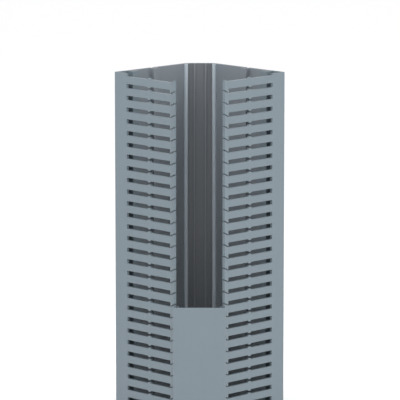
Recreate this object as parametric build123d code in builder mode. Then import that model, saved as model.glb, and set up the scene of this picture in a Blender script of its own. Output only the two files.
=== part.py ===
"""Corner wiring duct, cut to length: a square duct that stands in the corner of an enclosure.

The two rear walls lie on the enclosure walls. The two front walls are slotted into fingers, and the
front corner is cut off by a cover that snaps between the finger heads. The duct is put together from
six extruded profiles: a back rail, two rear panels, two slotted side walls and the cover.

Axes: +Z runs up the duct. The rear faces lie on the planes X = 0 and Y = 0 before the last step,
which puts the origin at the bottom centre of the duct's box. The cover faces +X and -Y.
All sizes are in millimetres.
"""

from build123d import *
from math import sqrt
import os

# ---------------------------------------------------------------- driving sizes
SIDE = 102.0  # outside of the square section
LENGTH = 300.0  # cut length of the duct
COVER_LENGTH = 107.5  # cut length of the cover, which stands on the same plane as the duct
REAR_WALL = 2.4  # thickness of the rear panels and of the side walls' return legs
FINGER_WALL = 2.2  # thickness of the slotted front walls

# slotted front walls, measured from the outer corner along the wall and along Z
WALL_REACH = 72.4  # outer corner to the front edge
STRIP = 15.0  # plain strip beside the outer corner
SLOT_PITCH = 10.0
SLOT_HEIGHT = 3.8
HEAD_REACH = 4.9  # finger head, between the end of a slot and the front edge
SLIT_HEIGHT = 0.95  # open gap between two finger heads
SLIT_SET_IN = 0.9  # start of the slit, measured on from the end of the slot
SLIT_RISE = 0.49  # slope of the slit, rise over run
HEAD_FLARE = 0.6  # how far the front edge stands proud of the wall
FLARE_RUN = 4.4  # length of the flare
NUB_PLACE = 42.0  # break-off nubs, from the outer corner
NUB_WIDTH = 4.0
NUB_HEIGHT = 1.15
SCORE_WIDTH = 0.8  # break-off score line on the inside, between the nubs
SCORE_DEPTH = 0.4
LEFT_NOTCH = 2.6  # what is left of the slot that the saw cut through at the top, left wall
RIGHT_NOTCH = 1.6  # the same on the right wall, whose slots stand a little higher
LEAST_FINGER = 0.8  # thinner than this, the lowest finger is gone with the saw cut

# hook joint between a side wall's return leg and a rear panel, measured from the outer corner
HOOK_PLACE = 12.6  # outer face of the stem
HOOK_HEIGHT = 7.0  # how far the hook stands into the duct
HOOK_WALL = 2.2  # thickness of stem and flange
LIP_WIDTH = 1.8
LIP_DROP = 2.2  # how far the lip reaches back towards the rear panel
PANEL_GAP = 0.3  # clearance of the hook joint, all round
UPSTAND = 2.0  # thickness of the rear panel's upstand, which the lip holds
TOE = 0.9  # rear panel outside the upstand

# screw channel in the middle of a rear panel, open to the back
CHANNEL_PLACE = 43.0  # its centre, from the outer corner
CHANNEL_WIDTH = 2.8
CHANNEL_WALL = 1.7
CHANNEL_DEPTH = 5.0  # from the rear face
CHANNEL_ROOF = 1.8

# back corner: the corner is cut off, and the back rail closes it
CORNER_CUT = 17.5  # from the corner of the square to each end of the cut
BEAD_RADIUS = 1.8  # round bead that ends a rear panel
JAW = 1.0  # thickness of the panel's rear jaw
JAW_REACH = 3.3  # rear jaw, along the cut
GROOVE = 1.2  # width of the panel's groove for the rail's tongue
GROOVE_DEPTH = 1.2
RAIL_FIT = 0.1  # clearance of the tongue in the groove, each side
RAIL_END_GAP = 0.3  # clearance at the tongue's end and at the rear jaw's tip
RAIL_RIB_PLACE = 4.8  # ribs that guide the drill, from the middle of the rail
RAIL_RIB_WIDTH = 1.6
RAIL_RIB_HEIGHT = 1.2

# cover
COVER_WALL = 2.0
COVER_OVERLAP = 1.0  # cover beyond the finger heads, each side
COVER_LIFT = 0.2  # gap between the cover plate and the finger heads
COVER_EDGE = 1.2  # radius of the cover's long front edges
LEG_GAP = 0.5  # gap between a snap leg and the finger heads
LEG_WALL = 1.6
LEG_LENGTH = 6.8
BARB_DEPTH = 1.7  # how far the barb stands out of the leg
BARB_START = 2.4  # from the inside of the plate to the barb's upper end
BARB_RUN = 1.5

EDGE = 0.35  # radius of the profiles' small edges
CORNER = 0.9  # radius of the outer corners

# ---------------------------------------------------------------- worked-out sizes
DIAGONAL = Plane(origin=(0, 0, 0), x_dir=(1, -1, 0), z_dir=(1, 1, 0))
HALF_DIAGONAL = SIDE / sqrt(2)
SLOT_END = WALL_REACH - HEAD_REACH
SLOT_HALF = SLOT_HEIGHT / 2
REAR_FLAT = HALF_DIAGONAL - CORNER_CUT / sqrt(2)  # depth of the cut-off back corner
CUT_HALF = CORNER_CUT / sqrt(2)  # half the width of the cut
GROOVE_BACK = REAR_FLAT - JAW
GROOVE_FRONT = GROOVE_BACK - GROOVE
PANEL_START = HOOK_PLACE + HOOK_WALL + PANEL_GAP
UPSTAND_START = PANEL_START + TOE
UPSTAND_END = UPSTAND_START + UPSTAND
HOOK_END = UPSTAND_END + PANEL_GAP + LIP_WIDTH
HOOK_TOP = REAR_WALL + HOOK_HEIGHT
UPSTAND_TOP = HOOK_TOP - HOOK_WALL - PANEL_GAP
HEAD_OUTER = (SIDE - WALL_REACH + HEAD_FLARE) / sqrt(2)  # half opening at the outer edge
HEAD_INNER = (SIDE - WALL_REACH - FINGER_WALL) / sqrt(2)  # half opening at the inner edge
COVER_IN = (WALL_REACH + HEAD_FLARE) / sqrt(2) + COVER_LIFT
COVER_HALF = HEAD_OUTER + COVER_OVERLAP

# the duct's box runs from the rear faces to the cover's rounded outer corners
BOX_END = SIDE / 2 + (COVER_IN + COVER_WALL + COVER_HALF) / sqrt(2) - COVER_EDGE * (sqrt(2) - 1)
BOX_MIDDLE = BOX_END / 2


def to_corner(across, deep):
    """A point given across the duct (+ is left, seen from the cover) and deep (+ is to the back)."""
    x = SIDE / 2 - (across + deep) / sqrt(2)
    y = -SIDE / 2 + (deep - across) / sqrt(2)
    return (x, y)


def on_rear(height, along):
    """A point of the left rear wall, given by its height above the rear face and its place along it."""
    return (height, along - SIDE)


def finish(part, label):
    """Puts a finished piece about the origin, names it and writes it."""
    placed = Pos(-BOX_MIDDLE, BOX_MIDDLE, 0) * part
    placed.label = label
    export_step(placed, f"parts/{label}.step")
    return placed


def slot_outline(saw_above=False, saw_below=False):
    """One slot with its slit, drawn with X along the wall and Y up, centred on the slot's height.

    Where the saw cut through the slot, the finger beyond the cut is gone with its head.
    """
    reach = WALL_REACH + 2 * HEAD_FLARE
    away = SLOT_PITCH / 2
    slit_start = SLOT_END + SLIT_SET_IN
    slit_low = -SLOT_HALF + SLIT_RISE * (reach - slit_start)
    slit_high = slit_low + SLIT_HEIGHT
    tab_corner = -SLOT_HALF + SLIT_HEIGHT - SLIT_RISE * SLIT_SET_IN
    nub_start = NUB_PLACE - NUB_WIDTH / 2
    nub_end = NUB_PLACE + NUB_WIDTH / 2
    nub_tip = SLOT_HALF - NUB_HEIGHT
    with BuildSketch() as outline:
        with BuildLine():
            if saw_below:
                Polyline((STRIP, 0), (STRIP, -away), (reach, -away), (reach, slit_high))
            else:
                Polyline((STRIP, 0), (STRIP, -SLOT_HALF), (nub_start, -SLOT_HALF))
                ThreePointArc((nub_start, -SLOT_HALF), (NUB_PLACE, -nub_tip), (nub_end, -SLOT_HALF))
                Polyline((nub_end, -SLOT_HALF), (slit_start, -SLOT_HALF), (reach, slit_low))
                Line((reach, slit_low), (reach, slit_high))
            if saw_above:
                Polyline((reach, slit_high), (reach, away), (STRIP, away), (STRIP, 0))
            else:
                Polyline((reach, slit_high), (SLOT_END, tab_corner), (SLOT_END, SLOT_HALF), (nub_end, SLOT_HALF))
                ThreePointArc((nub_end, SLOT_HALF), (NUB_PLACE, nub_tip), (nub_start, SLOT_HALF))
                Polyline((nub_start, SLOT_HALF), (STRIP, SLOT_HALF), (STRIP, 0))
        make_face()
    return outline.sketch


def side_wall(notch):
    """A slotted side wall on the left of the duct: front wall, outer corner, return leg and hook."""
    flare_start = WALL_REACH - FLARE_RUN
    with BuildPart() as wall:
        with BuildSketch():
            with BuildLine():
                Polyline(
                    (0, -SIDE),
                    (flare_start, -SIDE),
                    (WALL_REACH, -SIDE - HEAD_FLARE),
                    (WALL_REACH, -SIDE + FINGER_WALL),
                    (REAR_WALL, -SIDE + FINGER_WALL),
                    on_rear(REAR_WALL, HOOK_PLACE),
                    on_rear(HOOK_TOP, HOOK_PLACE),
                    on_rear(HOOK_TOP, HOOK_END),
                    on_rear(HOOK_TOP - HOOK_WALL - LIP_DROP, HOOK_END),
                    on_rear(HOOK_TOP - HOOK_WALL - LIP_DROP, HOOK_END - LIP_WIDTH),
                    on_rear(HOOK_TOP - HOOK_WALL, HOOK_END - LIP_WIDTH),
                    on_rear(HOOK_TOP - HOOK_WALL, HOOK_PLACE + HOOK_WALL),
                    on_rear(0, HOOK_PLACE + HOOK_WALL),
                    close=True,
                )
            face = make_face()
            corners = face.vertices().sort_by_distance((0, -SIDE, 0))
            fillet(corners[0], radius=CORNER)
            fillet(corners[1:], radius=EDGE)
        extrude(amount=LENGTH)

        top_slot = LENGTH - notch + SLOT_HALF
        whole_slots = int((top_slot - SLOT_HALF - LEAST_FINGER) / SLOT_PITCH)
        bottom_slot = top_slot - SLOT_PITCH * (whole_slots + 1)
        wall_plane = Plane(origin=(0, -SIDE, 0), x_dir=(1, 0, 0), z_dir=(0, -1, 0))
        with BuildSketch(wall_plane):
            with Locations(*[(0, top_slot - SLOT_PITCH * number) for number in range(1, whole_slots + 1)]):
                add(slot_outline())
            with Locations((0, top_slot)):
                add(slot_outline(saw_above=True))
            if bottom_slot + SLOT_HALF > 0:
                with Locations((0, bottom_slot)):
                    add(slot_outline(saw_below=True))
        extrude(amount=2 * FINGER_WALL, both=True, mode=Mode.SUBTRACT)

        with BuildSketch():
            with BuildLine():
                Polyline(
                    (NUB_PLACE - SCORE_WIDTH / 2, -SIDE + FINGER_WALL),
                    (NUB_PLACE, -SIDE + FINGER_WALL - SCORE_DEPTH),
                    (NUB_PLACE + SCORE_WIDTH / 2, -SIDE + FINGER_WALL),
                    close=True,
                )
            make_face()
        extrude(amount=LENGTH, mode=Mode.SUBTRACT)
    return wall.part


def rear_panel():
    """The left rear panel: upstand for the hook, plate, screw channel, and bead and groove at the back."""
    channel_start = CHANNEL_PLACE - CHANNEL_WIDTH / 2
    channel_end = CHANNEL_PLACE + CHANNEL_WIDTH / 2
    roof = CHANNEL_DEPTH + CHANNEL_ROOF
    inner_face = (SIDE / 2 - REAR_WALL) * sqrt(2)  # across and deep add up to this on the inner face
    bead_deep = GROOVE_FRONT - BEAD_RADIUS
    bead_across = inner_face - GROOVE_FRONT + BEAD_RADIUS / 2
    jaw_tip = CUT_HALF - JAW_REACH
    groove_end = bead_across - BEAD_RADIUS + GROOVE_DEPTH
    with BuildPart() as panel:
        with BuildSketch():
            with BuildLine():
                Polyline(
                    on_rear(0, PANEL_START),
                    on_rear(REAR_WALL, PANEL_START),
                    on_rear(REAR_WALL, UPSTAND_START),
                    on_rear(UPSTAND_TOP, UPSTAND_START),
                    on_rear(UPSTAND_TOP, UPSTAND_END),
                    on_rear(REAR_WALL, UPSTAND_END),
                    on_rear(REAR_WALL, channel_start - CHANNEL_WALL),
                    on_rear(roof, channel_start - CHANNEL_WALL),
                    on_rear(roof, channel_end + CHANNEL_WALL),
                    on_rear(REAR_WALL, channel_end + CHANNEL_WALL),
                    to_corner(inner_face - bead_deep, bead_deep),
                    to_corner(bead_across - BEAD_RADIUS, bead_deep),
                    to_corner(bead_across - BEAD_RADIUS, GROOVE_FRONT),
                    to_corner(groove_end, GROOVE_FRONT),
                    to_corner(groove_end, GROOVE_BACK),
                    to_corner(jaw_tip, GROOVE_BACK),
                    to_corner(jaw_tip, REAR_FLAT),
                    to_corner(CUT_HALF, REAR_FLAT),
                    on_rear(0, channel_end),
                    on_rear(CHANNEL_DEPTH, channel_end),
                    on_rear(CHANNEL_DEPTH, channel_start),
                    on_rear(0, channel_start),
                    close=True,
                )
            make_face()
            with Locations(to_corner(bead_across, bead_deep)):
                Circle(BEAD_RADIUS)
        extrude(amount=LENGTH)
    return panel.part


def back_rail():
    """The rail that closes the back corner: a plate with two tongues and two ribs that guide the drill."""
    inner_face = (SIDE / 2 - REAR_WALL) * sqrt(2)
    bead_across = inner_face - GROOVE_FRONT + BEAD_RADIUS / 2
    tongue = bead_across - BEAD_RADIUS + GROOVE_DEPTH - RAIL_END_GAP
    plate = CUT_HALF - JAW_REACH - RAIL_END_GAP
    front = GROOVE_FRONT + RAIL_FIT
    with BuildPart() as rail:
        with BuildSketch():
            with BuildLine():
                Polyline(
                    to_corner(tongue, front),
                    to_corner(tongue, GROOVE_BACK - RAIL_FIT),
                    to_corner(plate, GROOVE_BACK - RAIL_FIT),
                    to_corner(plate, REAR_FLAT),
                    to_corner(-plate, REAR_FLAT),
                    to_corner(-plate, GROOVE_BACK - RAIL_FIT),
                    to_corner(-tongue, GROOVE_BACK - RAIL_FIT),
                    to_corner(-tongue, front),
                    close=True,
                )
            make_face()
            for place in (-RAIL_RIB_PLACE, RAIL_RIB_PLACE):
                with BuildLine():
                    Polyline(
                        to_corner(place - RAIL_RIB_WIDTH / 2, front),
                        to_corner(place - RAIL_RIB_WIDTH / 2, front - RAIL_RIB_HEIGHT),
                        to_corner(place + RAIL_RIB_WIDTH / 2, front - RAIL_RIB_HEIGHT),
                        to_corner(place + RAIL_RIB_WIDTH / 2, front),
                        close=True,
                    )
                make_face()
        extrude(amount=LENGTH)
    return rail.part


def cover():
    """The cover: a plate over the finger heads, with two snap legs that spring out behind them."""
    leg_outer = HEAD_INNER - LEG_GAP
    plate_out = COVER_IN + COVER_WALL
    with BuildPart() as plate:
        with BuildSketch():
            with BuildLine():
                Polyline(
                    to_corner(COVER_HALF, -COVER_IN),
                    to_corner(COVER_HALF, -plate_out),
                    to_corner(-COVER_HALF, -plate_out),
                    to_corner(-COVER_HALF, -COVER_IN),
                    close=True,
                )
            face = make_face()
            fillet(face.vertices().sort_by(Axis((0, 0, 0), (1, -1, 0)))[-2:], radius=COVER_EDGE)
            for hand in (-1, 1):
                with BuildLine():
                    Polyline(
                        to_corner(hand * leg_outer, -COVER_IN),
                        to_corner(hand * leg_outer, BARB_START - COVER_IN),
                        to_corner(hand * (leg_outer + BARB_DEPTH), BARB_START + BARB_RUN - COVER_IN),
                        to_corner(hand * (leg_outer + BARB_DEPTH), BARB_START + 1.4 * BARB_RUN - COVER_IN),
                        to_corner(hand * leg_outer, LEG_LENGTH - COVER_IN),
                        to_corner(hand * (leg_outer - LEG_WALL), LEG_LENGTH - COVER_IN),
                        to_corner(hand * (leg_outer - LEG_WALL), -COVER_IN),
                        close=True,
                    )
                make_face()
        extrude(amount=COVER_LENGTH)
    return plate.part


os.makedirs("parts", exist_ok=True)

finish(back_rail(), "back_rail")
finish(rear_panel(), "left_rear_panel")
finish(mirror(rear_panel(), about=DIAGONAL), "right_rear_panel")
finish(side_wall(LEFT_NOTCH), "left_side_wall")
finish(mirror(side_wall(RIGHT_NOTCH), about=DIAGONAL), "right_side_wall")
finish(cover(), "cover")
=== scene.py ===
"""Looks of the corner wiring duct: six extruded plastic profiles, cut to length with a saw.

The section of each profile is drawn in millimetres about the corner of the duct's square, as its maker
draws it, and then placed about the frame's origin. The slotted walls are built from one pitch of wall,
which Geometry Nodes stack up the duct; the saw then cuts the stack to length.
"""

import logging
import math
from dataclasses import dataclass
from enum import Enum
from typing import Any, Callable, Iterable, Sequence

import bmesh
import bpy
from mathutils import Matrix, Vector


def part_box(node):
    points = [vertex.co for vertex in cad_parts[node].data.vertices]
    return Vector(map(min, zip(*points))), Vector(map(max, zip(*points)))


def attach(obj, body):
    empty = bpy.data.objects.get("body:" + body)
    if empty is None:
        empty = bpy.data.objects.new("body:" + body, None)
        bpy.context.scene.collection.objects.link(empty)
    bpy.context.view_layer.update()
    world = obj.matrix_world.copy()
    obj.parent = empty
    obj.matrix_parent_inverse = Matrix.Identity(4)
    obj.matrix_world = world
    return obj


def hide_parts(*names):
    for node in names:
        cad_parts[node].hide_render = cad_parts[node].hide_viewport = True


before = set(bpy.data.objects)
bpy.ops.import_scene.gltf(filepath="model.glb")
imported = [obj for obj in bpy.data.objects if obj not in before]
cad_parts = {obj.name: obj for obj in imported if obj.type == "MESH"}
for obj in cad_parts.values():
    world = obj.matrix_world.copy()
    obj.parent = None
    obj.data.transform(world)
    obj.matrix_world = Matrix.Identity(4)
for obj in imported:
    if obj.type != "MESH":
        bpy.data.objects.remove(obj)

log = logging.getLogger("corner_duct")

MM = 0.001
WELD = 0.01  # millimetres within which the points of two stacked pitches become one
NEAR = 1e-4  # millimetres within which a point lies on a plane
Point = tuple[float, float]
Colour = tuple[float, float, float]
Scale = tuple[float, float, float]


class Hand(Enum):
    """Which side of the duct a piece stands on, seen from the cover."""

    LEFT = "left"
    RIGHT = "right"


# what is left, in millimetres, of the slot that the saw cut through at the top of each wall
NOTCHES = {Hand.LEFT: 2.6, Hand.RIGHT: 1.6}


# ------------------------------------------------------------------------------------------ shader tools


class Reading:
    """A shader value that can be used in sums: each operator adds one Math node."""

    def __init__(self, paint: "Paint", socket: bpy.types.NodeSocket) -> None:
        """Wraps a socket.

        Args:
            paint: the material under construction.
            socket: the output that holds the value.
        """
        self.paint = paint
        self.socket = socket

    def _sum(self, operation: str, *values: Any) -> "Reading":
        """Adds a Math node.

        Args:
            operation: the Math node's operation.
            values: its inputs, each a number or a Reading.

        Returns:
            The node's result.
        """
        node = self.paint.node("ShaderNodeMath", {"operation": operation}, dict(enumerate(values)))
        return Reading(self.paint, node.outputs[0])

    def __add__(self, other: Any) -> "Reading":
        """self + other."""
        return self._sum("ADD", self, other)

    def __radd__(self, other: Any) -> "Reading":
        """other + self."""
        return self._sum("ADD", other, self)

    def __sub__(self, other: Any) -> "Reading":
        """self - other."""
        return self._sum("SUBTRACT", self, other)

    def __rsub__(self, other: Any) -> "Reading":
        """other - self."""
        return self._sum("SUBTRACT", other, self)

    def __mul__(self, other: Any) -> "Reading":
        """self * other."""
        return self._sum("MULTIPLY", self, other)

    def __rmul__(self, other: Any) -> "Reading":
        """other * self."""
        return self._sum("MULTIPLY", other, self)

    def above(self, edge: float) -> "Reading":
        """1 where the value is above edge, and 0 elsewhere."""
        return self._sum("GREATER_THAN", self, edge)

    def below(self, edge: float) -> "Reading":
        """1 where the value is below edge, and 0 elsewhere."""
        return self._sum("LESS_THAN", self, edge)

    def between(self, low: float, high: float) -> "Reading":
        """The value's place between two others.

        Args:
            low: where the result is 0.
            high: where the result is 1.

        Returns:
            The place, held at both ends.
        """
        node = self.paint.node(
            "ShaderNodeMapRange", {"clamp": True}, {"Value": self, "From Min": low, "From Max": high}
        )
        return Reading(self.paint, node.outputs["Result"])


class Paint:
    """One material under construction."""

    def __init__(self, name: str) -> None:
        """Starts a material that holds only a Principled shader.

        Args:
            name: the material's name.
        """
        self.material = bpy.data.materials.new(name)
        self.material.use_nodes = True
        self.tree = self.material.node_tree
        self.tree.nodes.clear()
        self.shader = self.node("ShaderNodeBsdfPrincipled")
        self.node("ShaderNodeOutputMaterial", {}, {"Surface": self.shader.outputs["BSDF"]})

    def node(
        self, kind: str, settings: dict[str, Any] | None = None, inputs: dict[Any, Any] | None = None
    ) -> bpy.types.Node:
        """Adds a node.

        Args:
            kind: the node's type.
            settings: its own settings, set first.
            inputs: values or links of its sockets, by name or number.

        Returns:
            The new node.
        """
        made = self.tree.nodes.new(kind)
        for key, value in (settings or {}).items():
            setattr(made, key, value)
        for key, value in (inputs or {}).items():
            self.feed(made.inputs[key], value)
        return made

    def feed(self, socket: bpy.types.NodeSocket, value: Any) -> None:
        """Links or sets one input.

        Args:
            socket: the input.
            value: a Reading, an output socket, a number or a colour.
        """
        if isinstance(value, Reading):
            value = value.socket
        if isinstance(value, bpy.types.NodeSocket):
            self.tree.links.new(value, socket)
        else:
            socket.default_value = value

    def place(self, scale: Sequence[float]) -> bpy.types.NodeSocket:
        """Object coordinates, scaled along each axis.

        Args:
            scale: the factors along X, Y and Z.

        Returns:
            The scaled place.
        """
        where = self.node("ShaderNodeTexCoord")
        inputs = {"Vector": where.outputs["Object"], "Scale": tuple(scale)}
        mapped = self.node("ShaderNodeMapping", {}, inputs)
        return mapped.outputs["Vector"]

    def noise(self, scale: Sequence[float], detail: float = 2.0, roughness: float = 0.5) -> Reading:
        """Noise of its own size along each axis.

        Args:
            scale: features per metre along X, Y and Z.
            detail: the noise's octaves.
            roughness: the share of the finer octaves.

        Returns:
            The noise, about 0.5 on average.
        """
        made = self.node(
            "ShaderNodeTexNoise",
            {"noise_dimensions": "3D"},
            {"Vector": self.place(scale), "Scale": 1.0, "Detail": detail, "Roughness": roughness},
        )
        return Reading(self, made.outputs[0])

    def height(self) -> Reading:
        """Height up the duct.

        Returns:
            The height, in metres.
        """
        where = self.node("ShaderNodeTexCoord")
        split = self.node("ShaderNodeSeparateXYZ", {}, {0: where.outputs["Object"]})
        return Reading(self, split.outputs[2])

    def mark(self, name: str) -> Reading:
        """One of the numbers that each face of a piece carries.

        Args:
            name: the number's name, such as edge or tone.

        Returns:
            The number, which is 0 on a piece that lacks it.
        """
        made = self.node("ShaderNodeAttribute", {"attribute_type": "GEOMETRY", "attribute_name": name})
        return Reading(self, made.outputs["Fac"])

    def blend(self, share: Any, low: Any, high: Any) -> bpy.types.NodeSocket:
        """Mixes two colours.

        Args:
            share: how much of high shows.
            low: the colour at share 0.
            high: the colour at share 1.

        Returns:
            The mixed colour.
        """
        settings = {"data_type": "RGBA", "blend_type": "MIX"}
        made = self.node("ShaderNodeMix", settings, {0: share, 6: low, 7: high})
        return made.outputs[2]

    def scaled(self, colour: bpy.types.NodeSocket, factor: Reading) -> bpy.types.NodeSocket:
        """Makes a colour lighter or darker.

        Args:
            colour: the colour.
            factor: what each channel is multiplied by.

        Returns:
            The new colour.
        """
        made = self.node("ShaderNodeVectorMath", {"operation": "SCALE"}, {0: colour, 3: factor})
        return made.outputs[0]


def lighter(colour: Colour, factor: float) -> tuple[float, float, float, float]:
    """A colour made lighter or darker, with its alpha.

    Args:
        colour: the linear colour.
        factor: what each channel is multiplied by.

    Returns:
        The new colour, as a socket takes it.
    """
    return (colour[0] * factor, colour[1] * factor, colour[2] * factor, 1.0)


@dataclass(frozen=True)
class ExtrudedPlastic:
    """Grey PVC as it leaves the die: faint lines along its length, satin skin, matt where it was cut.

    The patterns are given as features per metre along X, Y and Z, and the lengths in metres.
    """

    name: str
    colour: Colour
    roughness: float = 0.46
    die_lines: float = 0.35
    edge_shine: float = 1.12
    saw_face: float = 1.10
    length: float = 0.300
    along: Scale = (2600.0, 2600.0, 5.0)
    bands: Scale = (240.0, 240.0, 2.0)
    clouds: Scale = (55.0, 55.0, 38.0)
    fine_grain: Scale = (3800.0, 3800.0, 3800.0)
    scuffs: Scale = (420.0, 420.0, 60.0)
    saw_lines: Scale = (140.0, 5200.0, 140.0)
    cut_depth: float = 0.00002
    relief_depth: float = 0.0001

    def build(self) -> bpy.types.Material:
        """Makes the material.

        Returns:
            The finished material.
        """
        paint = Paint(self.name)
        lines = paint.noise(self.along, detail=3.0, roughness=0.6)
        broad = paint.noise(self.bands, detail=2.0)
        mottle = paint.noise(self.clouds, detail=4.0, roughness=0.6)
        grain = paint.noise(self.fine_grain, detail=2.0)
        scuff = paint.noise(self.scuffs, detail=5.0, roughness=0.72).between(0.60, 0.74)
        edge = paint.mark("edge")
        up = paint.height()
        sawn = up.above(self.length - self.cut_depth) + up.below(self.cut_depth)

        tone = mottle * 0.60 + broad * 0.25 + lines * 0.15
        plain = paint.blend(tone, lighter(self.colour, 0.93), lighter(self.colour, 1.07))
        rubbed = paint.blend(scuff * 0.20, plain, lighter(self.colour, 1.25))
        worn = paint.blend(edge * (0.55 + 0.45 * mottle), rubbed, lighter(self.colour, self.edge_shine))
        cut = paint.blend(sawn * 0.8, worn, lighter(self.colour, self.saw_face))
        # the tone attribute scales the colour: painted highlights on the beads and rib tops, painted shade on
        # the finger noses
        paint.feed(paint.shader.inputs["Base Color"], paint.scaled(cut, 1.0 + paint.mark("tone")))

        rough = self.roughness + 0.10 * (mottle - 0.5) + 0.08 * (lines - 0.5) + 0.10 * scuff + 0.22 * sawn
        paint.feed(paint.shader.inputs["Roughness"], rough)
        paint.shader.inputs["Specular IOR Level"].default_value = 0.42
        paint.shader.inputs["IOR"].default_value = 1.53

        saw_marks = paint.noise(self.saw_lines, detail=2.0)
        relief = lines * self.die_lines + grain * 0.12 + broad * 0.3 + saw_marks * sawn * 0.8
        bump = paint.node(
            "ShaderNodeBump", {}, {"Strength": 0.22, "Distance": self.relief_depth, "Height": relief}
        )
        paint.feed(paint.shader.inputs["Normal"], bump.outputs["Normal"])
        return paint.material


@dataclass(frozen=True)
class StudioFloor:
    """Matt white sweep that the duct stands on."""

    name: str = "studio_floor"

    def build(self) -> bpy.types.Material:
        """Makes the material.

        Returns:
            The finished material.
        """
        paint = Paint(self.name)
        paint.feed(paint.shader.inputs["Base Color"], (0.95, 0.95, 0.95, 1.0))
        paint.feed(paint.shader.inputs["Roughness"], 0.9)
        return paint.material


# -------------------------------------------------------------------------------------------- mesh tools


def arc(centre: Point, radius: float, start: float, end: float, steps: int) -> list[Point]:
    """Points along an arc.

    Args:
        centre: the arc's centre.
        radius: its radius.
        start: its first angle, in degrees.
        end: its last angle, in degrees.
        steps: the number of equal steps.

    Returns:
        steps + 1 points.
    """
    angles = [math.radians(start + (end - start) * step / steps) for step in range(steps + 1)]
    return [(centre[0] + radius * math.cos(a), centre[1] + radius * math.sin(a)) for a in angles]


def rounded(points: Sequence[Point], radii: dict[int, float], steps: int = 6) -> list[Point]:
    """Rounds some corners of a closed outline.

    Args:
        points: the outline's corners in order.
        radii: corner number to radius; other corners stay sharp.
        steps: straight pieces in each round corner.

    Returns:
        The new outline.
    """
    made: list[Point] = []
    for number, here in enumerate(points):
        radius = radii.get(number, 0.0)
        if not radius:
            made.append(here)
            continue
        corner = Vector(here)
        before = (Vector(points[number - 1]) - corner).normalized()
        after = (Vector(points[(number + 1) % len(points)]) - corner).normalized()
        half = before.angle(after) / 2
        centre = corner + (before + after).normalized() * (radius / math.sin(half))
        first = corner + before * (radius / math.tan(half)) - centre
        last = corner + after * (radius / math.tan(half)) - centre
        turn = first.angle_signed(last)
        start = math.atan2(first.y, first.x)
        for step in range(steps + 1):
            angle = start - turn * step / steps
            made.append((centre.x + radius * math.cos(angle), centre.y + radius * math.sin(angle)))
    return made


def prism(outline: Sequence[Point], low: float, high: float) -> bmesh.types.BMesh:
    """A closed prism.

    Args:
        outline: its section, in millimetres.
        low: its lower end, in millimetres.
        high: its upper end, in millimetres.

    Returns:
        The mesh, in millimetres.
    """
    mesh = bmesh.new()
    bottom = [mesh.verts.new((x, y, low)) for x, y in outline]
    top = [mesh.verts.new((x, y, high)) for x, y in outline]
    mesh.faces.new(bottom)
    mesh.faces.new(top)
    for number in range(len(outline)):
        following = (number + 1) % len(outline)
        mesh.faces.new((bottom[number], bottom[following], top[following], top[number]))
    bmesh.ops.recalc_face_normals(mesh, faces=mesh.faces[:])
    return mesh


def saw(mesh: bmesh.types.BMesh, height: float, keep_below: bool) -> None:
    """Cuts a mesh square across and closes the cut.

    Args:
        mesh: the mesh, cut in place.
        height: the cut's height.
        keep_below: True to keep what is below the cut.
    """
    bmesh.ops.bisect_plane(
        mesh,
        geom=mesh.verts[:] + mesh.edges[:] + mesh.faces[:],
        dist=1e-5,
        plane_co=(0, 0, height),
        plane_no=(0, 0, 1),
        clear_outer=keep_below,
        clear_inner=not keep_below,
    )
    rim = [e for e in mesh.edges if e.is_boundary and all(abs(v.co.z - height) < NEAR for v in e.verts)]
    bmesh.ops.edgeloop_fill(mesh, edges=rim)


def keep_largest(mesh: bmesh.types.BMesh) -> None:
    """Drops every loose piece but the one with the most vertices, as the saw does.

    Args:
        mesh: the mesh, changed in place.
    """
    left = set(mesh.verts)
    groups: list[set[bmesh.types.BMVert]] = []
    while left:
        group: set[bmesh.types.BMVert] = set()
        waiting = [left.pop()]
        while waiting:
            vert = waiting.pop()
            group.add(vert)
            for edge in vert.link_edges:
                other = edge.other_vert(vert)
                if other in left:
                    left.remove(other)
                    waiting.append(other)
        groups.append(group)
    groups.sort(key=len)
    bmesh.ops.delete(mesh, geom=[v for group in groups[:-1] for v in group], context="VERTS")


def evaluated_mesh(holder: bpy.types.Object) -> bpy.types.Mesh:
    """The mesh that an object's modifiers make.

    Args:
        holder: the object.

    Returns:
        A new plain mesh.
    """
    bpy.context.view_layer.update()
    graph = bpy.context.evaluated_depsgraph_get()
    return bpy.data.meshes.new_from_object(holder.evaluated_get(graph))


def soften(holder: bpy.types.Object, width: float, limit: float = 38.0) -> None:
    """Rounds every sharp edge and marks the rounded faces, with the modifier applied.

    Args:
        holder: the object, changed in place.
        width: the width of the rounding, in metres.
        limit: the least angle that is rounded, in degrees.
    """
    spare = bpy.data.materials.new("edge_mark")
    for _ in range(2):  # one slot for plain faces, and one for the rounded ones
        holder.data.materials.append(spare)
    bevel = holder.modifiers.new("soften", "BEVEL")
    bevel.width = width
    bevel.segments = 2
    bevel.limit_method = "ANGLE"
    bevel.angle_limit = math.radians(limit)
    bevel.use_clamp_overlap = True
    bevel.material = 1
    made = evaluated_mesh(holder)
    holder.modifiers.remove(bevel)
    mark = made.attributes.new("edge", "FLOAT", "FACE")
    mark.data.foreach_set("value", [float(face.material_index == 1) for face in made.polygons])
    made.polygons.foreach_set("material_index", [0] * len(made.polygons))
    made.materials.clear()
    holder.data = made
    bpy.data.materials.remove(spare)


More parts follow.
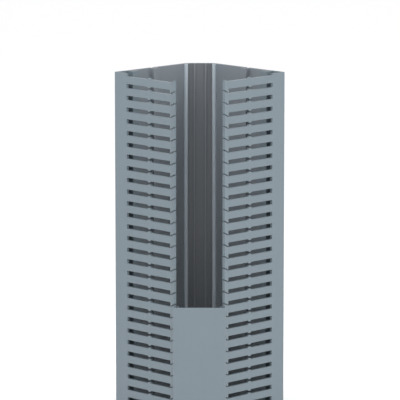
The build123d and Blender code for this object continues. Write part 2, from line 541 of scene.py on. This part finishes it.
def finished(
    name: str, mesh: bmesh.types.BMesh, place: Callable[[float, float], Point], round_by: float
) -> bpy.types.Object:
    """Places a mesh about the frame's origin, rounds its edges and makes its object.

    Args:
        name: the piece's name.
        mesh: the mesh, in millimetres about the corner of the square.
        place: turns the section's millimetres into the frame's.
        round_by: the width of its rounded edges, in millimetres.

    Returns:
        The object, with its place in its mesh.
    """
    for vert in mesh.verts:
        x, y = place(vert.co.x, vert.co.y)
        vert.co = Vector((x, y, vert.co.z)) * MM
    bmesh.ops.recalc_face_normals(mesh, faces=mesh.faces[:])
    data = bpy.data.meshes.new(name)
    mesh.to_mesh(data)
    mesh.free()
    made = bpy.data.objects.new(name, data)
    bpy.context.scene.collection.objects.link(made)
    soften(made, round_by * MM)
    made.data.name = name
    return made


def tint(piece: bpy.types.Object, tone: Callable[[bpy.types.MeshPolygon], float]) -> None:
    """Gives each face a tone of its own: painted light or shade that scales its colour.

    Args:
        piece: the object, changed in place.
        tone: a face's tone; 0 is the plain colour, and 1 is twice as light.
    """
    mark = piece.data.attributes.new("tone", "FLOAT", "FACE")
    mark.data.foreach_set("value", [tone(face) for face in piece.data.polygons])


class Stacker:
    """Geometry Nodes that stack one pitch of wall up the duct and weld the joints."""

    def __init__(self) -> None:
        """Builds the tree."""
        self.tree = bpy.data.node_groups.new("stack_pitches", "GeometryNodeTree")
        face = self.tree.interface
        face.new_socket("Pitch of wall", in_out="INPUT", socket_type="NodeSocketGeometry")
        self.count = face.new_socket("Count", in_out="INPUT", socket_type="NodeSocketInt").identifier
        self.pitch = face.new_socket("Pitch", in_out="INPUT", socket_type="NodeSocketFloat").identifier
        self.first = face.new_socket("First height", in_out="INPUT", socket_type="NodeSocketFloat").identifier
        self.weld = face.new_socket("Weld distance", in_out="INPUT", socket_type="NodeSocketFloat").identifier
        self.finish = face.new_socket("Finish", in_out="INPUT", socket_type="NodeSocketMaterial").identifier
        face.new_socket("Wall", in_out="OUTPUT", socket_type="NodeSocketGeometry")

        given = self._add("NodeGroupInput")
        step = self._add("ShaderNodeCombineXYZ", {"Z": given.outputs["Pitch"]})
        start = self._add("ShaderNodeCombineXYZ", {"Z": given.outputs["First height"]})
        line = self._add(
            "GeometryNodeMeshLine",
            {"Count": given.outputs["Count"], "Start Location": start.outputs[0], "Offset": step.outputs[0]},
        )
        copies = self._add(
            "GeometryNodeInstanceOnPoints",
            {"Points": line.outputs["Mesh"], "Instance": given.outputs["Pitch of wall"]},
        )
        real = self._add("GeometryNodeRealizeInstances", {"Geometry": copies.outputs["Instances"]})
        welded = self._add(
            "GeometryNodeMergeByDistance",
            {"Geometry": real.outputs["Geometry"], "Distance": given.outputs["Weld distance"]},
        )
        dressed = self._add(
            "GeometryNodeSetMaterial",
            {"Geometry": welded.outputs["Geometry"], "Material": given.outputs["Finish"]},
        )
        self._add("NodeGroupOutput", {"Wall": dressed.outputs["Geometry"]})

    def _add(self, kind: str, inputs: dict[str, Any] | None = None) -> bpy.types.Node:
        """Adds a node and links its inputs.

        Args:
            kind: the node's type.
            inputs: links by socket name.

        Returns:
            The new node.
        """
        made = self.tree.nodes.new(kind)
        for key, value in (inputs or {}).items():
            self.tree.links.new(value, made.inputs[key])
        return made

    def stack(
        self,
        pitch_of_wall: bpy.types.Mesh,
        count: int,
        pitch: float,
        first: float,
        finish: bpy.types.Material,
    ) -> bpy.types.Mesh:
        """Stacks a mesh.

        Args:
            pitch_of_wall: one pitch, open at both ends.
            count: how many pitches.
            pitch: their height.
            first: the height of the lowest one's middle.
            finish: the wall's material.

        Returns:
            The welded wall, as a plain mesh.
        """
        holder = bpy.data.objects.new("stack_holder", pitch_of_wall)
        bpy.context.scene.collection.objects.link(holder)
        modifier = holder.modifiers.new("stack", "NODES")
        modifier.node_group = self.tree
        modifier[self.count] = count
        modifier[self.pitch] = pitch
        modifier[self.first] = first
        modifier[self.weld] = WELD
        modifier[self.finish] = finish
        made = evaluated_mesh(holder)
        bpy.data.objects.remove(holder)
        return made


# ------------------------------------------------------------------------------------------- the profiles


@dataclass
class Square:
    """The duct's square section, which every profile is drawn on, in millimetres."""

    side: float = 102.0
    length: float = 300.0
    rear_wall: float = 2.4
    finger_wall: float = 2.2
    reach: float = 72.4
    flare: float = 0.6
    hook_place: float = 12.6
    hook_height: float = 7.0
    hook_wall: float = 2.2
    toe: float = 0.9
    upstand: float = 2.0
    corner_cut: float = 17.5
    groove: float = 1.2
    groove_depth: float = 1.2
    jaw: float = 1.0
    jaw_reach: float = 3.3
    bead_radius: float = 1.8
    panel_gap: float = 0.3
    edge: float = 0.25

    @property
    def hook_top(self) -> float:
        """Height of the hook above the rear face."""
        return self.rear_wall + self.hook_height

    @property
    def panel_start(self) -> float:
        """Place of a rear panel's end, from the outer corner."""
        return self.hook_place + self.hook_wall + self.panel_gap

    @property
    def shift(self) -> float:
        """Distance from the corner of the square to the frame's origin, along X and along Y."""
        return -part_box("left_rear_panel")[0].x / MM

    @property
    def rear_flat(self) -> float:
        """Depth of the cut-off back corner."""
        return (self.side - self.corner_cut) / math.sqrt(2)

    @property
    def groove_back(self) -> float:
        """Depth of the rear side of the groove for the back rail."""
        return self.rear_flat - self.jaw

    @property
    def groove_front(self) -> float:
        """Depth of the front side of the groove for the back rail."""
        return self.groove_back - self.groove

    @property
    def inner_face(self) -> float:
        """Across and deep add up to this on the inner face of a rear panel."""
        return (self.side / 2 - self.rear_wall) * math.sqrt(2)

    @property
    def bead_across(self) -> float:
        """Place of the bead's centre, across the duct."""
        return self.inner_face - self.groove_front + self.bead_radius / 2

    @property
    def bead_deep(self) -> float:
        """Depth of the bead's centre."""
        return self.groove_front - self.bead_radius

    def at(self, across: float, deep: float) -> Point:
        """A point of the section, given along its diagonals.

        Args:
            across: distance from the duct's middle, left positive.
            deep: distance from the duct's middle to the back.

        Returns:
            The point.
        """
        return (
            self.side / 2 - (across + deep) / math.sqrt(2),
            -self.side / 2 + (deep - across) / math.sqrt(2),
        )

    def depth_of(self, point: Vector) -> float:
        """Depth of a point of the finished model, in millimetres."""
        return (self.side - 2 * self.shift - (point.x - point.y) / MM) / math.sqrt(2)

    def rear(self, height: float, along: float) -> Point:
        """A point of the left rear wall: height above its rear face, and place from the outer corner."""
        return (height, along - self.side)

    def placer(self, hand: Hand) -> Callable[[float, float], Point]:
        """How a section goes into the frame.

        Args:
            hand: RIGHT mirrors the section about the duct's diagonal.

        Returns:
            A function from the section's point to the frame's, both in millimetres.
        """
        shift = self.shift
        if hand is Hand.LEFT:
            return lambda x, y: (x - shift, y + shift)
        return lambda x, y: (-y - shift, -x + shift)


@dataclass
class SlottedWall:
    """A side wall: fingers, plain strip, outer corner, return leg and the hook on its end."""

    square: Square
    stacker: Stacker
    hand: Hand
    notch: float
    strip: float = 15.0
    join: float = 12.0
    pitch: float = 10.0
    slot_height: float = 3.8
    head_reach: float = 4.9
    slit_height: float = 0.95
    slit_set_in: float = 0.9
    slit_rise: float = 0.49
    flare_run: float = 4.4
    nub_place: float = 42.0
    nub_width: float = 4.0
    nub_height: float = 1.15
    score_width: float = 0.8
    score_depth: float = 0.4
    corner: float = 0.9
    corner_steps: int = 6
    lip_width: float = 1.8
    lip_drop: float = 2.2
    slot_corner: float = 0.5
    tab_corner: float = 0.4
    slot_corner_steps: int = 4
    nub_steps: int = 8
    nose_width: float = 3.0
    # painted shade: how much darker the outward faces of the finger heads' noses are painted
    nose_painted_shade: float = -0.10

    @property
    def slot_end(self) -> float:
        """Place of the slots' outer end, from the outer corner of the duct."""
        return self.square.reach - self.head_reach

    def comb(self) -> list[Point]:
        """One pitch of the fingers, seen from outside.

        Returns:
            The outline: X from the outer corner along the wall, Y up from the slot's middle.
        """
        half = self.slot_height / 2
        top = self.pitch / 2
        reach = self.square.reach
        start = self.slot_end + self.slit_set_in
        low = -half + self.slit_rise * (reach - start)
        tab = -half + self.slit_height - self.slit_rise * self.slit_set_in
        high = low + self.slit_height
        nub = self.nub_arc()
        lower = [(x, -y) for x, y in reversed(nub)]
        outline = [
            (self.join, -top),
            (reach, -top),
            (reach, low),
            (start, -half),
            *lower,
            (self.strip, -half),
            (self.strip, half),
            *nub,
            (self.slot_end, half),
            (self.slot_end, tab),
            (reach, high),
            (reach, top),
            (self.join, top),
        ]
        strip_low = outline.index((self.strip, -half))
        strip_high = outline.index((self.strip, half))
        head_high = outline.index((self.slot_end, half))
        radii = {
            strip_low: self.slot_corner,
            strip_high: self.slot_corner,
            head_high: self.tab_corner,
        }
        return rounded(outline, radii, self.slot_corner_steps)

    def nub_arc(self) -> list[Point]:
        """The upper break-off nub.

        Returns:
            Its arc, from the strip's side to the head's.
        """
        half = self.slot_height / 2
        reach = self.nub_width / 2
        radius = (reach**2 + self.nub_height**2) / (2 * self.nub_height)
        swing = math.degrees(math.asin(reach / radius))
        centre = (self.nub_place, half - self.nub_height + radius)
        return arc(centre, radius, -90 - swing, -90 + swing, self.nub_steps)

    def leg(self) -> list[Point]:
        """The rest of the wall's section, with the outer corner, the return leg and the hook.

        Returns:
            The open outline, from the outside of the front wall round to its inside.
        """
        square = self.square
        top = square.hook_top
        under = top - square.hook_wall
        upstand_end = square.panel_start + square.toe + square.upstand
        end = upstand_end + square.panel_gap + self.lip_width
        centre = (self.corner, -square.side + self.corner)
        return [
            (self.join, -square.side),
            *reversed(arc(centre, self.corner, 180, 270, self.corner_steps)),
            square.rear(0, square.hook_place + square.hook_wall),
            square.rear(under, square.hook_place + square.hook_wall),
            square.rear(under, end - self.lip_width),
            square.rear(under - self.lip_drop, end - self.lip_width),
            square.rear(under - self.lip_drop, end),
            square.rear(top, end),
            square.rear(top, square.hook_place),
            square.rear(square.rear_wall, square.hook_place),
            (square.rear_wall, -square.side + square.finger_wall),
            (self.join, -square.side + square.finger_wall),
        ]

    def one_pitch(self) -> bpy.types.Mesh:
        """One pitch of the whole wall, open at its top and bottom.

        Returns:
            The mesh, in millimetres about the corner of the square.
        """
        mesh = bmesh.new()
        mesh.faces.new([mesh.verts.new((x, 0, z)) for x, z in self.comb()])
        flare_start = self.square.reach - self.flare_run
        cuts = (
            self.strip,
            self.strip + self.slot_corner,
            self.nub_place - self.nub_width / 2,
            self.nub_place - self.score_width / 2,
            self.nub_place,
            self.nub_place + self.score_width / 2,
            self.nub_place + self.nub_width / 2,
            self.slot_end,
            flare_start,
            self.slot_end + self.slit_set_in,
        )
        for cut in cuts:
            bmesh.ops.bisect_plane(
                mesh,
                geom=mesh.verts[:] + mesh.edges[:] + mesh.faces[:],
                dist=1e-5,
                plane_co=(cut, 0, 0),
                plane_no=(1, 0, 0),
            )
        rim = [edge for edge in mesh.edges if edge.is_boundary]
        outer = mesh.faces[:]
        copy = bmesh.ops.duplicate(mesh, geom=mesh.verts[:] + mesh.edges[:] + outer)
        twin = copy["vert_map"]
        inner_verts = {twin[vert] for vert in {v for face in outer for v in face.verts}}
        top = self.pitch / 2
        for edge in rim:
            first, last = edge.verts
            open_end = all(abs(abs(v.co.z) - top) < NEAR for v in edge.verts)
            open_side = all(abs(v.co.x - self.join) < NEAR for v in edge.verts)
            if not (open_end or open_side):
                mesh.faces.new((first, last, twin[last], twin[first]))
        for vert in mesh.verts:
            if vert in inner_verts:
                scored = abs(vert.co.x - self.nub_place) < NEAR
                depth = self.square.finger_wall - (self.score_depth if scored else 0.0)
                vert.co.y = -self.square.side + depth
            else:
                run = max(0.0, vert.co.x - flare_start)
                vert.co.y = -self.square.side - self.square.flare * run / self.flare_run
        section = self.leg()
        low = [mesh.verts.new((x, y, -top)) for x, y in section]
        high = [mesh.verts.new((x, y, top)) for x, y in section]
        for number in range(len(section) - 1):
            mesh.faces.new((low[number], low[number + 1], high[number + 1], high[number]))
        bmesh.ops.remove_doubles(mesh, verts=mesh.verts[:], dist=1e-3)
        bmesh.ops.recalc_face_normals(mesh, faces=mesh.faces[:])
        data = bpy.data.meshes.new("one_pitch")
        mesh.to_mesh(data)
        mesh.free()
        return data

    def build(self, finish: bpy.types.Material) -> bpy.types.Object:
        """Stacks, saws and places the wall.

        Args:
            finish: the wall's material.

        Returns:
            The finished piece.
        """
        length = self.square.length
        top_slot = length - self.notch + self.slot_height / 2
        count = int(length / self.pitch) + 2
        first = top_slot - self.pitch * (count - 1)
        stacked = self.stacker.stack(self.one_pitch(), count, self.pitch, first, finish)
        mesh = bmesh.new()
        mesh.from_mesh(stacked)
        saw(mesh, length, keep_below=True)
        saw(mesh, 0.0, keep_below=False)
        keep_largest(mesh)
        name = f"{self.hand.value}_slotted_wall"
        made = finished(name, mesh, self.square.placer(self.hand), self.square.edge)
        tint(made, self.tone)
        return made

    def tone(self, face: bpy.types.MeshPolygon) -> float:
        """Painted shade: the outward faces of the finger heads' noses are painted a little darker than the
        rest.

        Args:
            face: a face of the finished wall.

        Returns:
            The face's tone.
        """
        shift = self.square.shift
        left = self.hand is Hand.LEFT
        along = face.center.x / MM + shift if left else shift - face.center.y / MM
        outwards = -face.normal.y if left else face.normal.x
        on_nose = outwards > 0.7 and along > self.square.reach - self.nose_width
        return self.nose_painted_shade if on_nose else 0.0


@dataclass
class RearPanel:
    """A rear panel: upstand, plate, screw channel, and bead and groove beside the back corner."""

    square: Square
    hand: Hand
    channel_place: float = 43.0
    channel_width: float = 2.8
    channel_wall: float = 1.7
    channel_depth: float = 5.0
    channel_roof: float = 1.8
    bead_steps: int = 14
    # painted highlight: how much lighter the bead's faces are painted
    bead_painted_highlight: float = 1.15

    def outline(self) -> list[Point]:
        """The section, with its bead.

        Returns:
            The outline, in millimetres about the corner of the square.
        """
        square = self.square
        wall = square.rear_wall
        near = self.channel_place - self.channel_width / 2
        far = self.channel_place + self.channel_width / 2
        roof = self.channel_depth + self.channel_roof
        start = square.panel_start
        upstand_top = square.hook_top - square.hook_wall - square.panel_gap
        cut_half = square.corner_cut / math.sqrt(2)
        side = square.bead_across - square.bead_radius
        groove_end = side + square.groove_depth
        jaw_tip = cut_half - square.jaw_reach
        return [
            square.rear(0, start),
            square.rear(wall, start),
            square.rear(wall, start + square.toe),
            square.rear(upstand_top, start + square.toe),
            square.rear(upstand_top, start + square.toe + square.upstand),
            square.rear(wall, start + square.toe + square.upstand),
            square.rear(wall, near - self.channel_wall),
            square.rear(roof, near - self.channel_wall),
            square.rear(roof, far + self.channel_wall),
            square.rear(wall, far + self.channel_wall),
            *self.bead(),
            square.at(side, square.groove_front),
            square.at(groove_end, square.groove_front),
            square.at(groove_end, square.groove_back),
            square.at(jaw_tip, square.groove_back),
            square.at(jaw_tip, square.rear_flat),
            square.at(cut_half, square.rear_flat),
            square.rear(0, far),
            square.rear(self.channel_depth, far),
            square.rear(self.channel_depth, near),
            square.rear(0, near),
        ]

    def bead(self) -> list[Point]:
        """The round bead.

        Returns:
            Its arc, from the panel's inner face to the bead's flat side.
        """
        square = self.square
        offset = (square.inner_face - square.bead_across - square.bead_deep) / math.sqrt(2)
        swing = math.degrees(math.acos(max(-1.0, min(1.0, offset / square.bead_radius))))
        start = swing - 45
        centre = (square.bead_across, square.bead_deep)
        turned = arc(centre, square.bead_radius, -start, -180, self.bead_steps)
        return [square.at(across, deep) for across, deep in turned]

    def build(self) -> bpy.types.Object:
        """Makes the panel.

        Returns:
            The finished piece.
        """
        mesh = prism(self.outline(), 0.0, self.square.length)
        name = f"{self.hand.value}_rear_wall"
        made = finished(name, mesh, self.square.placer(self.hand), self.square.edge)
        tint(made, self.tone)
        return made

    def tone(self, face: bpy.types.MeshPolygon) -> float:
        """Painted highlight: the bead's faces are painted lighter than the panel that it runs down.

        Args:
            face: a face of the finished panel.

        Returns:
            The face's tone.
        """
        square = self.square
        centre = Vector(square.placer(self.hand)(*square.at(square.bead_across, square.bead_deep)))
        away = (face.center.xy / MM - centre).length
        return self.bead_painted_highlight if away < 1.05 * square.bead_radius else 0.0


@dataclass
class BackRail:
    """The rail between the two rear panels: two tongues, and two ribs that guide a drill."""

    square: Square
    fit: float = 0.1
    end_gap: float = 0.3
    rib_place: float = 4.8
    rib_width: float = 1.6
    rib_height: float = 1.2
    # painted highlight: how much lighter the tops of the drill ribs are painted
    rib_painted_highlight: float = 0.35

    def tone(self, face: bpy.types.MeshPolygon) -> float:
        """Painted highlight: the tops of the ribs are painted lighter than the rail.

        Args:
            face: a face of the finished rail.

        Returns:
            The face's tone.
        """
        half_way_up = self.square.groove_front + self.fit - self.rib_height / 2
        return self.rib_painted_highlight if self.square.depth_of(face.center) < half_way_up else 0.0

    def build(self) -> bpy.types.Object:
        """Makes the rail.

        Returns:
            The finished piece.
        """
        square = self.square
        tongue = square.bead_across - square.bead_radius + square.groove_depth - self.end_gap
        plate = square.corner_cut / math.sqrt(2) - square.jaw_reach - self.end_gap
        front = square.groove_front + self.fit
        back = square.groove_back - self.fit
        half: list[Point] = [
            (self.rib_place - self.rib_width / 2, front),
            (self.rib_place - self.rib_width / 2, front - self.rib_height),
            (self.rib_place + self.rib_width / 2, front - self.rib_height),
            (self.rib_place + self.rib_width / 2, front),
            (tongue, front),
            (tongue, back),
            (plate, back),
            (plate, square.rear_flat),
        ]
        outline = half + [(-across, deep) for across, deep in reversed(half)]
        mesh = prism([square.at(*point) for point in outline], 0.0, square.length)
        made = finished("drill_rail", mesh, square.placer(Hand.LEFT), square.edge)
        tint(made, self.tone)
        return made


@dataclass
class Cover:
    """The cover: a plate over the finger heads and two snap legs behind it."""

    square: Square
    height: float = 107.5
    wall: float = 2.0
    lift: float = 0.2
    overlap: float = 1.0
    leg_gap: float = 0.5
    leg_wall: float = 1.6
    leg_length: float = 6.8
    barb_depth: float = 1.7
    barb_start: float = 2.4
    barb_run: float = 1.5
    barb_flat: float = 0.6
    front_edge: float = 1.2
    front_edge_steps: int = 6
    small_edge: float = 0.3

    def build(self) -> bpy.types.Object:
        """Makes the cover.

        Returns:
            The finished piece.
        """
        square = self.square
        opening = square.side - square.reach
        inside = -(square.reach + square.flare) / math.sqrt(2) - self.lift
        edge = (opening + square.flare) / math.sqrt(2) + self.overlap
        leg = (opening - square.finger_wall) / math.sqrt(2) - self.leg_gap
        tip = inside + self.barb_start + self.barb_run
        half: list[Point] = [
            (leg - self.leg_wall, inside),
            (leg - self.leg_wall, inside + self.leg_length),
            (leg, inside + self.leg_length),
            (leg + self.barb_depth, tip + self.barb_flat),
            (leg + self.barb_depth, tip),
            (leg, inside + self.barb_start),
            (leg, inside),
            (edge, inside),
            (edge, inside - self.wall),
        ]
        outline = half + [(-across, deep) for across, deep in reversed(half)]
        front = len(half)
        radii = {front - 1: self.front_edge, front: self.front_edge}
        smooth = rounded(outline, radii, self.front_edge_steps)
        mesh = prism([square.at(*point) for point in smooth], 0.0, self.height)
        return finished("clip_cover", mesh, square.placer(Hand.LEFT), self.small_edge)


# --------------------------------------------------------------------------------------------- the studio


@dataclass(frozen=True)
class Softbox:
    """A soft square light: where it hangs round the target, as the camera does, its side and its watts."""

    name: str
    azimuth: float
    elevation: float
    distance: float
    size: float
    power: float


@dataclass
class Studio:
    """Floor, surroundings, lights and camera."""

    target: tuple[float, float, float] = (-0.00099, 0.00137, 0.19027)
    azimuth: float = 45.349
    elevation: float = 9.59
    distance: float = 2.8947
    lens: float = 306.5
    horizon: float = 1.95
    zenith: float = 0.55
    half_floor: float = 20.0
    lights: tuple[Softbox, ...] = (
        Softbox("left_softbox", -15.0, 50.0, 0.8, 0.4, 2.0),
        Softbox("right_softbox", 107.0, 30.0, 1.6, 0.9, 9.0),
        Softbox("front_softbox", 37.0, 16.0, 1.6, 0.5, 3.0),
    )

    def direction(self, azimuth: float, elevation: float) -> Vector:
        """The way from the duct to a viewer.

        Args:
            azimuth: degrees round the duct; 0 looks along +Y.
            elevation: degrees above the horizon.

        Returns:
            A unit vector.
        """
        turn, rise = math.radians(azimuth), math.radians(elevation)
        return Vector((math.sin(turn) * math.cos(rise), -math.cos(turn) * math.cos(rise), math.sin(rise)))

    def floor(self) -> None:
        """Lays the floor."""
        mesh = bmesh.new()
        bmesh.ops.create_grid(mesh, x_segments=2, y_segments=2, size=self.half_floor)
        data = bpy.data.meshes.new("floor")
        mesh.to_mesh(data)
        mesh.free()
        data.materials.append(StudioFloor().build())
        made = bpy.data.objects.new("floor", data)
        bpy.context.scene.collection.objects.link(made)

    def sky(self) -> bpy.types.World:
        """White surroundings, brighter at the horizon than overhead.

        Returns:
            The world.
        """
        world = bpy.data.worlds.new("soft_white")
        world.use_nodes = True
        nodes, links = world.node_tree.nodes, world.node_tree.links
        way = nodes.new("ShaderNodeTexCoord")
        split = nodes.new("ShaderNodeSeparateXYZ")
        level = nodes.new("ShaderNodeMapRange")
        level.inputs["To Min"].default_value = self.horizon
        level.inputs["To Max"].default_value = self.zenith
        links.new(way.outputs["Generated"], split.inputs[0])
        links.new(split.outputs["Z"], level.inputs["Value"])
        background = nodes["Background"]
        background.inputs["Color"].default_value = (1.0, 1.0, 1.0, 1.0)
        links.new(level.outputs["Result"], background.inputs["Strength"])
        return world

    def hang(self, box: Softbox) -> None:
        """Hangs one soft light that looks at the duct.

        Args:
            box: the light.
        """
        light = bpy.data.lights.new(box.name, "AREA")
        light.shape = "SQUARE"
        light.size = box.size
        light.energy = box.power
        made = bpy.data.objects.new(box.name, light)
        bpy.context.scene.collection.objects.link(made)
        self.aim(made, self.direction(box.azimuth, box.elevation), box.distance)

    def aim(self, made: bpy.types.Object, way: Vector, distance: float) -> None:
        """Puts a light or the camera in its place and turns it to the target.

        Args:
            made: the light or the camera.
            way: the way from the target to it.
            distance: metres from the target.
        """
        made.location = Vector(self.target) + way * distance
        made.rotation_euler = (-way).to_track_quat("-Z", "Y").to_euler()

    def camera(self) -> None:
        """Sets up the camera."""
        data = bpy.data.cameras.new("camera")
        data.lens = self.lens
        data.sensor_width = 36.0
        data.clip_start = 0.1
        data.clip_end = 100.0
        data.dof.use_dof = False
        made = bpy.data.objects.new("camera", data)
        bpy.context.scene.collection.objects.link(made)
        self.aim(made, self.direction(self.azimuth, self.elevation), self.distance)
        bpy.context.scene.camera = made

    def build(self) -> None:
        """Sets up everything that isn't the duct."""
        scene = bpy.context.scene
        scene.view_settings.view_transform = "Standard"
        scene.world = self.sky()
        self.floor()
        for box in self.lights:
            self.hang(box)
        self.camera()


# ------------------------------------------------------------------------------------------------- main


def dress(piece: bpy.types.Object, finish: bpy.types.Material, body: str, node: str) -> None:
    """Dresses a piece and puts it on its body.

    Args:
        piece: the finished piece.
        finish: its material.
        body: the body it rides on.
        node: the CAD node it stands for.
    """
    piece.data.materials.clear()
    piece.data.materials.append(finish)
    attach(piece, body)
    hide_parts(node)
    log.info("%s: %d faces on %s", piece.name, len(piece.data.polygons), body)


def main() -> None:
    """Builds every piece and the studio."""
    logging.basicConfig(level=logging.INFO, format="%(message)s")
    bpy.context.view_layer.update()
    square = Square()
    stacker = Stacker()
    wall_grey = ExtrudedPlastic("wall_grey", (0.113, 0.143, 0.163)).build()
    panel_grey = ExtrudedPlastic("panel_grey", (0.147, 0.168, 0.187), die_lines=0.5).build()
    # rail_grey is darker than the other greys: the rail's own grey with painted shade of the deep recess
    # between the beads
    rail_grey = ExtrudedPlastic("rail_grey", (0.092, 0.102, 0.113), die_lines=0.5).build()
    cover_grey = ExtrudedPlastic(
        "cover_grey", (0.128, 0.161, 0.183), roughness=0.40, length=Cover.height * MM
    ).build()

    for hand in Hand:
        wall = SlottedWall(square, stacker, hand, NOTCHES[hand]).build(wall_grey)
        dress(wall, wall_grey, "duct", f"{hand.value}_side_wall")
        panel = RearPanel(square, hand).build()
        dress(panel, panel_grey, "duct", f"{hand.value}_rear_panel")
    dress(BackRail(square).build(), rail_grey, "duct", "back_rail")
    dress(Cover(square).build(), cover_grey, "cover", "cover")

    Studio().build()


if __name__ == "__main__":
    main()
